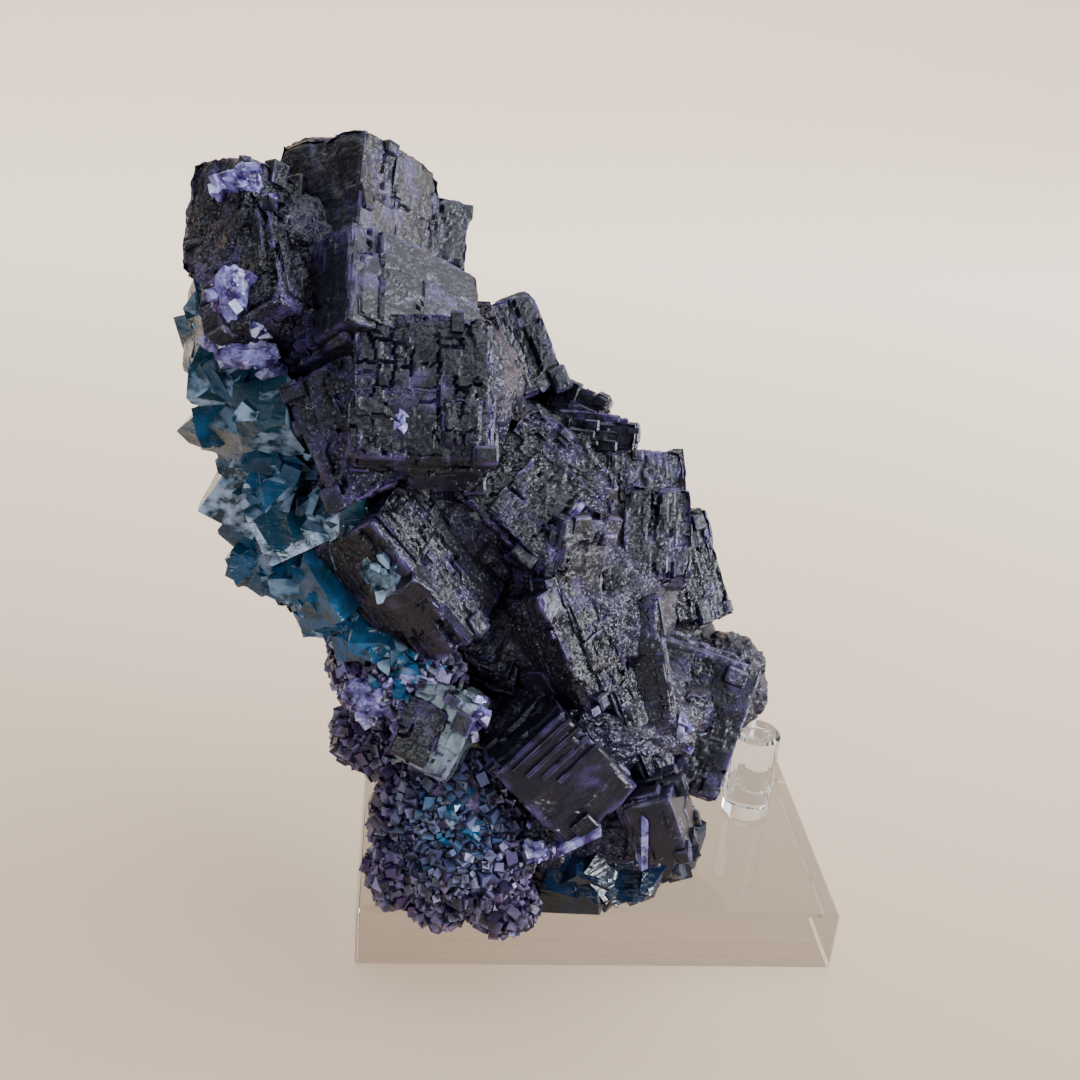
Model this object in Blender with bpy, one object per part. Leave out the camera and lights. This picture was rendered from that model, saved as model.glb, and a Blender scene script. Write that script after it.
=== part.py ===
"""Fluorite crystal group standing on a clear acrylic peg stand.

The specimen is one grown-together solid: blocky cubic crystals on a lumpy matrix, leaning to the
left and back. The stand is a clear plate with three clear pegs that carry the specimen.
The origin is the centre of the plate's underside, +X right, +Y to the back, +Z up.
"""
import math
import random

import bmesh
import bpy
from mathutils import Euler, Matrix, Vector

MM = 0.001

# Stand, in millimetres
PLATE_WIDTH = 88.9
PLATE_DEPTH = 50.8
PLATE_HEIGHT = 12.7
PLATE_EDGE = 0.5
PEG_DIAMETER = 9.5
PEG_HEIGHT = 19.0
PEG_EDGE = 0.5
PEG_SIDES = 32
PEGS = {
    "stand_peg_rear_right": (33.0, 7.0),
    "stand_peg_rear_left": (-33.0, 7.0),
    "stand_peg_front": (-12.0, -13.0),
}
GAP = 0.3

# Growth ledges: thin plates that stand proud of a crystal's faces
LEDGE_HEIGHT = (0.5, 1.1)
LEDGE_SHARE = (0.35, 0.75)
SEED = 7

# Main crystals: centre, size across its own x, y, z (mm), turn about x, y, z (degrees)
CRYSTALS = {
    "top_crown": ((-49, 8, 126), (18, 20, 26), (-30, -17, -33)),
    "upper_lit": ((-44, -6, 115), (26, 20, 18), (-41, 26, 28)),
    "hero_block": ((-37, -18, 106), (21, 18, 23), (-37, 1, 4)),
    "slab_right": ((-4, 14, 90), (14, 14, 5), (-25, 0, -9)),
    "right_ribbed": ((2, 6, 76), (18, 16, 24), (-34, 4, 10)),
    "rough_middle": ((-18, -6, 85), (20, 18, 22), (-52, 34, -24)),
    "centre_blade": ((-15, -15, 78), (13, 14, 17), (-45, 42, 10)),
    "centre_low": ((-6, -20, 64), (15, 14, 24), (-35, -45, -16)),
    "front_post": ((4, -8, 56), (11, 16, 24), (-16, -14, -2)),
    "right_low": ((13.5, 3, 40.5), (24, 20, 24), (-24, 30, 8)),
    "bottom_roof": ((-11, -24, 44), (21, 15, 16), (-13, 46, 0)),
    "bottom_right": ((8, -25, 34), (9, 12, 12), (-6, -24, -14)),
    "middle_left": ((-36, -17, 78), (16, 18, 28), (-33, -46, 0)),
    "upper_left": ((-62, -8, 120), (15, 14, 20), (-50, -34, -12)),
    "left_shoulder": ((-46, -16, 100), (17, 16, 20), (-30, -24, 12)),
    "top_left": ((-65, 2, 127), (13, 16, 18), (-28, -20, -40)),
    "grid_block": ((-31, -24, 51), (11, 12, 14), (-22, 14, -24)),
    "sparkle_ridge": ((5, -18, 43), (9, 14, 34), (-14, -26, 20)),
    "right_rim": ((15, 17, 62), (12, 12, 20), (-28, -10, 20)),
    "bump_top_right": ((-37, 18, 121), (12, 12, 16), (-30, 12, 14)),
    "bump_upper_right": ((-21, 20, 103), (13, 12, 18), (-26, -16, 24)),
    "bump_middle_right": ((-8, 18, 93), (10, 10, 9), (-24, 18, -20)),
    "edge_striped": ((-70, -9, 113), (9, 10, 10), (-20, 34, 30)),
    "edge_matte": ((-68, -10, 106), (11, 12, 11), (-40, 20, -20)),
    "edge_teal": ((-65, -12, 98), (11, 12, 12), (12, -28, 30)),
    "edge_pale": ((-62, -10, 87), (12, 12, 13), (-18, 20, -28)),
    "edge_blue": ((-60, -10, 72), (14, 14, 12), (-30, 16, 24)),
    "back_top": ((-54, 20, 116), (18, 16, 20), (24, -14, 30)),
    "back_upper": ((-38, 26, 102), (20, 18, 20), (20, -24, -16)),
    "back_middle": ((-20, 28, 84), (22, 18, 22), (28, -12, 24)),
    "back_right": ((0, 26, 66), (20, 16, 22), (18, -30, -12)),
    "back_low_right": ((12, 20, 46), (18, 16, 18), (24, 20, 18)),
    "back_low": ((-10, 20, 48), (20, 16, 20), (30, -20, -28)),
    "back_left": ((-32, 20, 66), (18, 18, 20), (22, 24, 12)),
    "back_left_upper": ((-54, 14, 92), (18, 16, 18), (26, -30, 20)),
    "side_left_low": ((-46, 4, 62), (14, 16, 16), (14, 30, 34)),
}

# The rough mass that the crystals stand on: centre and half size (mm)
MATRIX_LUMPS = {
    "head": ((-57, 5, 119), (13, 14, 15)),
    "shoulder": ((-42, 2, 101), (24, 22, 20)),
    "waist": ((-28, 4, 81), (27, 23, 20)),
    "hip": ((-14, 2, 62), (27, 23, 20)),
    "foot": ((-7, -5, 45), (26, 20, 13)),
    "left_flank": ((-48, -6, 80), (16, 14, 20)),
    "lilac_flank": ((-38, -12, 57), (13, 14, 12)),
    "purple_knob": ((-41, -14, 43), (9, 9, 7)),
    "druse_heel": ((-29, -24, 32), (14, 9, 14)),
    "druse_toe": ((-24, -32, 25), (12, 7, 9)),
    "dark_sole": ((1, -24, 26), (17, 9, 11)),
    "seat_right": ((25, 8, 42), (10, 11, 10.7)),
    "seat_left": ((-31, 5, 46), (13, 13, 15)),
    "seat_front": ((-13, -13, 40), (9, 9, 9.5)),
}
LUMP_ROUGHNESS = 0.12

# Small cubes that crust some of the lumps
DRUSE_COUNT = {"druse_heel": 34, "druse_toe": 26, "purple_knob": 14, "dark_sole": 16, "lilac_flank": 8,
               "seat_left": 14, "seat_right": 10}
DRUSE_SIZE = (2.6, 4.6)

# Points nearer than this are one point (mm)
WELD = 0.01


def clear_scene():
    for item in list(bpy.data.objects):
        bpy.data.objects.remove(item, do_unlink=True)


def material(name, color, roughness, transmission=0.0, ior=1.45):
    made = bpy.data.materials.new(name)
    made.use_nodes = True
    shader = made.node_tree.nodes["Principled BSDF"]
    shader.inputs["Base Color"].default_value = (*color, 1.0)
    shader.inputs["Roughness"].default_value = roughness
    shader.inputs["Metallic"].default_value = 0.0
    shader.inputs["Transmission Weight"].default_value = transmission
    shader.inputs["IOR"].default_value = ior
    made.diffuse_color = (*color, 1.0)
    return made


def placed(centre, turn):
    """The matrix that puts a body, modelled round its own middle, in its place."""
    angles = Euler([math.radians(angle) for angle in turn])
    return Matrix.Translation(Vector(centre)) @ angles.to_matrix().to_4x4()


def add_box(bm, centre, size, matrix):
    scale = Matrix.Diagonal((*size, 1.0))
    bmesh.ops.create_cube(bm, size=1.0, matrix=matrix @ Matrix.Translation(Vector(centre)) @ scale)


def add_ledges(bm, size, matrix, rng):
    """Thin plates on each side but the back, each reaching into the crystal it stands on."""
    for axis, side in ((0, -1), (0, 1), (1, -1), (2, 1), (2, -1)):
        across = [other for other in range(3) if other != axis]
        centre = [0.0, 0.0, 0.0]
        plate = [0.0, 0.0, 0.0]
        height = rng.uniform(*LEDGE_HEIGHT)
        plate[axis] = size[axis] * 0.5
        centre[axis] = side * (size[axis] * 0.25 + height)
        for other in across:
            share = rng.uniform(*LEDGE_SHARE)
            plate[other] = size[other] * share
            centre[other] = rng.uniform(-0.45, 0.45) * size[other] * (1.0 - share)
        add_box(bm, centre, plate, matrix)


def add_crystal(bm, centre, size, turn, rng):
    matrix = placed(centre, turn)
    add_box(bm, (0, 0, 0), size, matrix)
    add_ledges(bm, size, matrix, rng)


def add_lump(bm, centre, half, rng):
    made = bmesh.ops.create_icosphere(bm, subdivisions=2, radius=1.0)
    for vert in made["verts"]:
        reach = 1.0 + rng.uniform(-LUMP_ROUGHNESS, LUMP_ROUGHNESS)
        vert.co = Vector([c + h * reach * v for c, h, v in zip(centre, half, vert.co)])


def add_druse(bm, centre, half, count, rng):
    """Small cubes that sit half sunk in the surface of a lump."""
    for _ in range(count):
        way = Vector([rng.gauss(0, 1) for _ in range(3)]).normalized()
        size = rng.uniform(*DRUSE_SIZE)
        where = [c + h * 0.96 * w for c, h, w in zip(centre, half, way)]
        turn = [rng.uniform(0, 90) for _ in range(3)]
        add_box(bm, (0, 0, 0), (size, size, size), placed(where, turn))


def object_from(bm, name):
    mesh = bpy.data.meshes.new(name)
    bmesh.ops.scale(bm, vec=(MM, MM, MM), verts=bm.verts)
    bm.to_mesh(mesh)
    bm.free()
    made = bpy.data.objects.new(name, mesh)
    bpy.context.scene.collection.objects.link(made)
    return made


def apply_boolean(target, cutter, operation, use_self=False):
    modifier = target.modifiers.new(operation.lower(), "BOOLEAN")
    modifier.operation = operation
    modifier.solver = "EXACT"
    modifier.use_self = use_self
    modifier.object = cutter
    bpy.context.view_layer.update()
    evaluated = target.evaluated_get(bpy.context.evaluated_depsgraph_get())
    result = bpy.data.meshes.new_from_object(evaluated)
    target.modifiers.clear()
    target.data = result
    bpy.data.objects.remove(cutter, do_unlink=True)


def keep_largest_body(obj):
    """Deletes bits that touch nothing, so that one body is left, and splits its faces into triangles."""
    bm = bmesh.new()
    bm.from_mesh(obj.data)
    bmesh.ops.remove_doubles(bm, verts=bm.verts, dist=WELD * MM)
    bmesh.ops.dissolve_degenerate(bm, dist=WELD * MM, edges=bm.edges)
    bmesh.ops.triangulate(bm, faces=bm.faces)
    unseen = set(bm.faces)
    bodies = []
    while unseen:
        body = [unseen.pop()]
        for face in body:
            for edge in face.edges:
                for other in edge.link_faces:
                    if edge.is_manifold and other in unseen:
                        unseen.remove(other)
                        body.append(other)
        bodies.append(body)
    bodies.sort(key=len)
    for body in bodies[:-1]:
        bmesh.ops.delete(bm, geom=body, context="FACES")
    bm.to_mesh(obj.data)
    bm.free()


def make_clearance():
    """The stand, swollen by the gap: what the specimen has to stay clear of."""
    bm = bmesh.new()
    size = (PLATE_WIDTH + 2 * GAP, PLATE_DEPTH + 2 * GAP, PLATE_HEIGHT + 2 * GAP)
    add_box(bm, (0, 0, PLATE_HEIGHT / 2), size, Matrix())
    plate = object_from(bm, "clearance_plate")
    bm = bmesh.new()
    for x, y in PEGS.values():
        add_cylinder(bm, x, y, PLATE_HEIGHT, PLATE_HEIGHT + PEG_HEIGHT + GAP, PEG_DIAMETER / 2 + GAP)
    pegs = object_from(bm, "clearance_pegs")
    return plate, pegs


def add_cylinder(bm, x, y, low, high, radius):
    middle = Matrix.Translation((x, y, (low + high) / 2))
    bmesh.ops.create_cone(bm, cap_ends=True, segments=PEG_SIDES, radius1=radius, radius2=radius,
                          depth=high - low, matrix=middle)


def make_cluster():
    rng = random.Random(SEED)
    bm = bmesh.new()
    for centre, size, turn in CRYSTALS.values():
        add_crystal(bm, centre, size, turn, rng)
    for name, count in DRUSE_COUNT.items():
        add_druse(bm, *MATRIX_LUMPS[name], count, rng)
    for centre, half in MATRIX_LUMPS.values():
        add_lump(bm, centre, half, rng)
    cluster = object_from(bm, "fluorite_cluster")
    for cutter in make_clearance():
        apply_boolean(cluster, cutter, "DIFFERENCE", use_self=True)
    keep_largest_body(cluster)
    cluster.data.materials.append(material("fluorite_dark", (0.02, 0.017, 0.028), 0.4))


def bevelled(obj, width, clear):
    obj.data.materials.append(clear)
    modifier = obj.modifiers.new("worn_edges", "BEVEL")
    modifier.width = width * MM
    modifier.segments = 1
    modifier.limit_method = "ANGLE"


def make_stand():
    clear = material("clear_acrylic", (0.95, 0.97, 0.98), 0.05, transmission=1.0, ior=1.49)
    bm = bmesh.new()
    add_box(bm, (0, 0, PLATE_HEIGHT / 2), (PLATE_WIDTH, PLATE_DEPTH, PLATE_HEIGHT), Matrix())
    bevelled(object_from(bm, "stand_base"), PLATE_EDGE, clear)
    for name, (x, y) in PEGS.items():
        bm = bmesh.new()
        add_cylinder(bm, 0, 0, 0, PEG_HEIGHT - GAP, PEG_DIAMETER / 2)
        peg = object_from(bm, name)
        peg.location = Vector((x, y, PLATE_HEIGHT + GAP)) * MM
        peg.data.shade_smooth()
        peg.data.set_sharp_from_angle(angle=math.radians(40))
        bevelled(peg, PEG_EDGE, clear)


def main():
    clear_scene()
    make_cluster()
    make_stand()


main()
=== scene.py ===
"""Looks of the fluorite specimen and its clear stand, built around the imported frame.

Lengths inside the geometry code are millimetres in the frame's own axes; MM turns them into metres.
"""
import itertools
import math
import random

import bmesh
import bpy
import numpy as np
from mathutils import Euler, Matrix, Vector


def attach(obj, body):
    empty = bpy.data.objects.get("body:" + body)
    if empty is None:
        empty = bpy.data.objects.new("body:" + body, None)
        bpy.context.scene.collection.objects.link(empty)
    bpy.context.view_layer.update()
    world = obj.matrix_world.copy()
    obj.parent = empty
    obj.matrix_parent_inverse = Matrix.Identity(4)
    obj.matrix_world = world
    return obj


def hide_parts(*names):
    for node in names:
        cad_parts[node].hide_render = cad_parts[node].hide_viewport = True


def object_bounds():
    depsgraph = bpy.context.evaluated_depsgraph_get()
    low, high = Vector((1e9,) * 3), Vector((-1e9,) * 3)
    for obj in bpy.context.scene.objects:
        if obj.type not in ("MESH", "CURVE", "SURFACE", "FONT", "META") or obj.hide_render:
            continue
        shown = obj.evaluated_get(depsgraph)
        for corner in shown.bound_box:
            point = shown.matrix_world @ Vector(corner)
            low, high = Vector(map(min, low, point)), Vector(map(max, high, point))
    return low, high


MM = 0.001
# Start of the random draws
SEED = 11

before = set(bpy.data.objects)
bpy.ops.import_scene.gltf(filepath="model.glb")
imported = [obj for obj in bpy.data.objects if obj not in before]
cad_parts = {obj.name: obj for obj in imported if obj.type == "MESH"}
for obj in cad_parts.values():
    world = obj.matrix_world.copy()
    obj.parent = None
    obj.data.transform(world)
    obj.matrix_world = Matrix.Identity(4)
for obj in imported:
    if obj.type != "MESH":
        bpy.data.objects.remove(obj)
cad_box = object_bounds()

# Main crystals: centre, size across its own x, y, z (mm), turn about x, y, z (degrees), surface style
CRYSTALS = {
    "top_crown": ((-49, 8, 126), (18, 20, 26), (-30, -17, -33), "blocky"),
    "upper_lit": ((-44, -6, 115), (26, 20, 18), (-41, 26, 28), "blocky"),
    "hero_block": ((-37, -18, 106), (21, 18, 23), (-37, 1, 4), "mosaic"),
    "slab_right": ((-4, 14, 90), (14, 14, 5), (-25, 0, -9), "blocky"),
    "right_ribbed": ((2, 6, 76), (18, 16, 24), (-34, 4, 10), "ribbed"),
    "rough_middle": ((-18, -6, 85), (20, 18, 22), (-52, 34, -24), "grainy"),
    "centre_blade": ((-11.5, -14.5, 79.5), (10, 10, 15), (-11, -6, -62), "blocky"),
    "centre_low": ((-10.5, -18.5, 65), (11, 11, 22), (16, -23, -51), "grainy"),
    "front_post": ((4, -8, 56), (11, 16, 24), (-16, -14, -2), "ribbed"),
    "right_low": ((15, 3.4, 37.7), (22, 18, 27), (-27, 17, -5), "blocky"),
    "bottom_roof": ((-11, -24, 44), (21, 15, 16), (-13, 46, 0), "steps"),
    "bottom_right": ((8, -25, 34), (9, 12, 12), (-6, -24, -14), "smooth"),
    "middle_left": ((-37.5, -18.5, 77.5), (15, 16, 27), (18, -37, -35), "ribbed"),
    "upper_left": ((-62, -8, 120), (15, 14, 20), (-50, -34, -12), "grainy"),
    "left_shoulder": ((-46, -16, 100), (17, 16, 20), (-30, -24, 12), "ribbed"),
    "top_left": ((-65, 2, 127), (13, 16, 18), (-28, -20, -40), "grainy"),
    "grid_block": ((-31, -24, 51), (11, 12, 14), (-22, 14, -24), "mosaic"),
    "sparkle_ridge": ((4.6, -15, 40), (12, 8, 36), (17, -20, -58), "grainy"),
    "right_rim": ((15, 17, 62), (12, 12, 20), (-28, -10, 20), "ribbed"),
    "bump_top_right": ((-37, 18, 121), (12, 12, 16), (-30, 12, 14), "blocky"),
    "bump_upper_right": ((-21, 20, 103), (13, 12, 18), (-26, -16, 24), "blocky"),
    "bump_middle_right": ((-8, 18, 93), (10, 10, 9), (-24, 18, -20), "blocky"),
    "back_top": ((-54, 20, 116), (18, 16, 20), (24, -14, 30), "coarse"),
    "back_upper": ((-38, 26, 102), (20, 18, 20), (20, -24, -16), "coarse"),
    "back_middle": ((-20, 28, 84), (22, 18, 22), (28, -12, 24), "coarse"),
    "back_right": ((0, 26, 66), (20, 16, 22), (18, -30, -12), "coarse"),
    "back_low_right": ((12, 20, 46), (18, 16, 18), (24, 20, 18), "coarse"),
    "back_low": ((-10, 20, 48), (20, 16, 20), (30, -20, -28), "coarse"),
    "back_left": ((-32, 20, 66), (18, 18, 20), (22, 24, 12), "coarse"),
    "back_left_upper": ((-54, 14, 92), (18, 16, 18), (26, -30, 20), "coarse"),
    "side_left_low": ((-46, 4, 62), (14, 16, 16), (14, 30, 34), "coarse"),
}

# Broken blue edge: bodies as centre, half size (mm), share of pale faces (partly painted reflection),
# blueness
BLUE_BODIES = {
    "striped": ((-68.8, -7, 112.5), (5.0, 5.5, 5.5), 0.45, 0.15),
    "matte": ((-66.8, -9, 106), (5.5, 5.5, 5.0), 0.40, 0.20),
    "patch": ((-60, -17, 102), (4.5, 4.5, 4.5), 0.45, 0.10),
    "teal": ((-66, -9, 98.5), (5.5, 5.5, 6.0), 0.25, 0.35),
    "lavender": ((-64.5, -9, 87.5), (5.0, 4.5, 6.5), 0.90, 0.05),
    "striated": ((-58, -14, 92), (5.0, 5.5, 6.0), 0.25, 0.50),
    "reflecting": ((-56, -17, 85), (5.5, 5.5, 5.0), 0.40, 0.15),
    "white": ((-48, -20, 88), (4.5, 5.0, 4.5), 0.45, 0.05),
    "between": ((-49, -16, 81), (5.0, 5.0, 5.0), 0.15, 0.35),
    "blue_core": ((-52, -17, 74.5), (6.5, 5.5, 6.0), 0.04, 1.00),
    "blue_left": ((-60, -9, 73), (5.5, 5.5, 5.0), 0.15, 0.45),
    "dark_left": ((-61, -7, 80), (5.5, 5.5, 5.0), 0.20, 0.20),
    "band_left": ((-51, -16, 68), (5.5, 5.0, 3.8), 0.20, 0.80),
    "band_right": ((-43, -19, 65), (5.5, 5.0, 3.8), 0.25, 0.80),
}
# Dark blue broken foot under the crystals, in the same way
SOLE_BODIES = {
    "sole_left": ((-6, -24, 23), (7.0, 6.0, 6.0), 0.03, 0.30),
    "sole_middle": ((3, -24, 22), (7.0, 6.0, 5.5), 0.03, 0.50),
    "sole_right": ((10, -21, 24), (6.0, 6.0, 5.5), 0.03, 0.30),
}
# Smaller splinters around each body: count, size and reach as shares of its own
BODY_SPLINTERS = ((6, 0.6, 0.55), (12, 0.28, 0.85))

# Heaps of small shards: centre, half size (mm), count, shard half size (mm), share of pale faces (partly
# painted reflection), blueness
SHARD_HEAPS = {
    "edge_glints": ((-60, -17, 95), (7, 4, 3), 30, 0.9, 0.50, 0.30),
    "splinters": ((-39, -24, 61), (6, 4, 4), 70, 1.0, 0.45, 0.60),
    "band_glints": ((-49, -19.5, 66), (6, 3, 3), 40, 0.8, 0.55, 0.50),
    "core_glints": ((-56, -20, 79), (4, 3, 5), 24, 0.8, 0.60, 0.30),
    # A painted reflection: wholly pale shards where an uneven mirror-like face reflects the light
    "painted_reflection_patch": ((-41.7, -26.4, 80.2), (2.6, 1.0, 3.0), 26, 1.1, 1.00, 0.0),
    "heel_blue": ((-28, -31, 37), (6, 3, 5), 50, 0.8, 0.15, 0.50),
}

# Small dark teeth along the underside of the foot, as one more heap
SOLE_TEETH = ((3, -24.5, 19.5), (10, 4, 2.5), 50, 1.1, 0.03, 0.40)

# Lilac-white crusts and bright slivers: centre, half size (mm), count, grain half size (mm)
CRUSTS = {
    "top_flake": ((-66, -3.8, 135.5), (4.5, 2.5, 3.0), 18, 0.9),
    "upper_flake": ((-65.5, -16.5, 120.5), (4.2, 4.0, 6.0), 22, 0.9),
    "middle_flake": ((-63.5, -15.5, 112), (6.0, 4.0, 3.4), 20, 0.9),
    "shoulder_tip": ((-40, -28.6, 106.6), (1.2, 1.5, 1.2), 8, 0.7),
    "glow": ((-25.6, -26.5, 54), (1.2, 3.0, 4.5), 40, 0.7),
    "rim_specks": ((12.2, -16.5, 46), (2.2, 1.5, 3.2), 9, 0.7),
    "flank_frost": ((-43, -23.2, 56), (6, 4, 5), 110, 0.7),
    "sole_specks": ((-14, -30.4, 30.5), (4, 3, 3), 16, 0.6),
}
# Crusts with at least this half size (mm) get a rounded bed under their splinters
CRUST_BED = 2.0

# Thin bright blades: centre, size (mm), turn (degrees)
BLADES = {
    "upright_blade": ((4.5, -30, 32), (1.2, 3, 10), (-6, -4, 10)),
    "lying_blade": ((-7, -32, 34.5), (9, 3, 1.4), (0, -33, 0)),
    "hanging_sliver": ((-11, -17, 88), (1.0, 2, 4.5), (-20, 35, 0)),
}

# The rough mass between the crystals: centre and half size (mm)
DARK_LUMPS = {
    "head": ((-57, 5, 119), (13, 14, 15)),
    "shoulder": ((-42, 2, 101), (24, 22, 20)),
    "waist": ((-28, 4, 81), (27, 23, 20)),
    "hip": ((-14, 2, 62), (27, 23, 20)),
    "foot": ((-7, -5, 45), (26, 20, 13)),
    "left_flank": ((-48, -6, 80), (16, 14, 20)),
    "dark_sole": ((1, -22, 28), (15, 8, 10)),
    "seat_right": ((25, 8, 42), (10, 11, 10.7)),
    "seat_left": ((-31, 5, 46), (13, 13, 15)),
    "seat_front": ((-13, -13, 40), (9, 9, 9.5)),
    "sole_join": ((-12, -24, 28), (8, 8, 9)),
}
# Parts of that mass without small crystals on them
BARE_LUMPS = ("dark_sole", "seat_right", "sole_join")
# Thin ledges on the front of the roof-shaped crystal: place across it and length (mm), then their width,
# how far they rise and the spacing of their surface grid (mm)
LEDGES = ((-8.6, 13), (-6.2, 12), (-3.8, 10.5), (-1.4, 9))
LEDGE_WIDTH, LEDGE_RISE, LEDGE_PITCH = 0.9, 0.7, 0.4
# The purple druse: centre, half size (mm), share of lilac
DRUSE_LUMPS = {
    "lilac_flank": ((-38, -12, 57), (13, 14, 12), 1.2),
    "purple_knob": ((-41, -14, 43), (9, 9, 7), 0.7),
    "druse_heel": ((-29, -24, 32), (14, 9, 14), 0.4),
    "druse_toe": ((-25, -31, 26), (11, 7, 8.5), 0.5),
    "druse_tip": ((-19, -33, 21), (6, 5, 5.5), 0.7),
    "druse_side": ((-37, -28, 24), (6, 6, 7), 0.5),
    "druse_corner": ((-30, -33, 21), (5, 4, 4.5), 0.6),
}
# Where the druse turns blue, and how far from there (mm)
HEEL_BLUE, HEEL_BLUE_REACH = (-28, -32, 36), 14.0


class Style:
    """How a crystal's sides break up.

    pitch: spacing of the surface grid (mm)
    plate, stretch, step: size, length for their width and unevenness of the small plates (mm, ratio, mm)
    cracks, pits: share of the side that has cracks, and of plates that have sunk
    grain, terrace, chip: depth of the fine grain, of the broad terraces and of the broken edges (mm)
    sparkle: slope of the tiny facets
    """

    def __init__(self, pitch, plate, stretch, step, cracks, pits, grain, terrace, chip, sparkle):
        self.pitch = pitch
        self.plate = plate
        self.stretch = stretch
        self.step = step
        self.cracks = cracks
        self.pits = pits
        self.grain = grain
        self.terrace = terrace
        self.chip = chip
        self.sparkle = sparkle


# Surface styles, with the values in the order that Style names them
STYLES = {
    "mosaic": Style(0.34, 2.2, 1.2, 0.12, 0.75, 0.04, 0.10, 0.20, 0.8, 0.40),
    "blocky": Style(0.52, 5.0, 1.2, 0.13, 0.40, 0.05, 0.07, 0.30, 0.6, 0.35),
    "ribbed": Style(0.45, 1.6, 5.0, 0.22, 0.20, 0.03, 0.11, 0.35, 0.7, 0.50),
    "grainy": Style(0.42, 2.6, 1.6, 0.15, 0.15, 0.05, 0.28, 0.35, 0.8, 0.90),
    "steps": Style(0.45, 2.4, 9.0, 0.50, 0.00, 0.00, 0.05, 0.15, 0.6, 0.20),
    "smooth": Style(0.60, 8.0, 1.0, 0.08, 0.10, 0.00, 0.04, 0.10, 0.4, 0.15),
    "coarse": Style(0.95, 4.0, 1.5, 0.35, 0.30, 0.05, 0.25, 0.80, 0.9, 0.60),
}
# Grid spacing of the small crystals, and how far a side may sink or stand out (mm)
SMALL_PITCH, BACK_SMALL_PITCH = 0.62, 0.95
LOWEST, HIGHEST = -1.6, 0.2
CRACK_WIDTH, CRACK_DEPTH = 0.28, 0.7
# The turn that most crystals are near to (degrees)
COMMON_TURN = (-30, -5, -5)
# How many smaller crystals grow on each main crystal, and how far twins may stand out of it (mm)
FRONT_TWINS, STEP_TWINS, BACK_TWINS = 6, 1, 3
FRONT_SATELLITES, BACK_SATELLITES = 16, 5
FRONT_TWIN_REACH, BACK_TWIN_REACH = 1.2, 0.4
# Small boxes on a rounded body: surface for each one (mm2), smallest and largest size (mm), spread of their
# turn (degrees), and how far out they sit (share of the body's half size)
FILLERS = (30, (2.5, 8.0), 16, 0.84)
GRAINS = (1.35, (0.5, 2.0), 60, 0.93)
GRAIN_LILAC = 1.6
# Heights that part the groups of crystals, and the x that parts the lowest two (mm)
CROWN_FROM, UPPER_FROM, MIDDLE_FROM, LEFT_UP_TO = 117, 98, 66, -8
# Relief of a side: waves in the edges of its small plates as height and length, how far the outer plates
# reach past the border (mm), the slope of a plate and the depth of a sunk one (mm)
BROAD_WAVE, FINE_WAVE = (1.1, 3.1), (0.6, 0.9)
OVERHANG, NO_EDGE_NEAR = 1.0, 9.0
PLATE_SLOPE, PIT_DEPTH = 0.012, (0.4, 0.9)


def hash01(cell, seed):
    """A steady number from 0 to 1 for each row of whole numbers."""
    mixed = cell[..., 0] * 73856093 ^ cell[..., 1] * 19349663 ^ (seed * 2654435761)
    if cell.shape[-1] == 3:
        mixed = mixed ^ cell[..., 2] * 83492791
    mixed = (mixed ^ (mixed >> 13)) * 1274126177 & 0xFFFFFFFF
    mixed = (mixed ^ (mixed >> 16)) * 668265263 & 0xFFFFFFFF
    return ((mixed ^ (mixed >> 15)) & 0xFFFFFF) / float(0xFFFFFF)


def soft_noise(points, scale, seed):
    """Smooth noise from 0 to 1 on a plane or in space; scale is the size of its lumps in mm."""
    spot = points / scale
    cell = np.floor(spot).astype(np.int64)
    part = spot - cell
    part = part * part * (3 - 2 * part)
    total = np.zeros(len(points))
    for corner in itertools.product((0, 1), repeat=points.shape[1]):
        weight = np.prod(np.where(np.array(corner), part, 1 - part), axis=1)
        total += weight * hash01(cell + np.array(corner), seed)
    return total


def block_noise(points, scale, seed):
    """Noise from 0 to 1 that is level inside each little square or cube."""
    return hash01(np.floor(points / scale).astype(np.int64), seed)


def smooth_step(low, high, values):
    """A soft step from 0 below low to 1 above high."""
    t = np.clip((values - low) / (high - low), 0, 1)
    return t * t * (3 - 2 * t)


def placed(centre, turn):
    """The matrix that turns a piece (degrees) and puts it at its centre."""
    angles = Euler([math.radians(angle) for angle in turn])
    return Matrix.Translation(Vector(centre)) @ angles.to_matrix().to_4x4()


def tiles(x0, y0, x1, y1, style, rng, level=0.0):
    """Splits a rectangle again and again and gives each part its own level."""
    width, height = x1 - x0, (y1 - y0) / style.stretch
    if max(width, height) < style.plate * rng.uniform(1.0, 3.0):
        yield x0, y0, x1, y1, level
        return
    share = rng.uniform(0.25, 0.75)
    levels = [level + rng.gauss(0, style.step) if rng.random() < 0.6 else level for _ in range(2)]
    if width > height:
        middle = x0 + width * share
        parts = ((x0, y0, middle, y1), (middle, y0, x1, y1))
    else:
        middle = y0 + (y1 - y0) * share
        parts = ((x0, y0, x1, middle), (x0, middle, x1, y1))
    for part, own in zip(parts, levels):
        yield from tiles(*part, style, rng, own)


def wavy(values, flat, seed):
    """Coordinates on a side, shaken a little so that the edges of its plates aren't straight."""
    broad = BROAD_WAVE[0] * (soft_noise(flat, BROAD_WAVE[1], seed) - 0.5)
    fine = FINE_WAVE[0] * (soft_noise(flat, FINE_WAVE[1], seed + 1) - 0.5)
    return values + broad + fine


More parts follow.
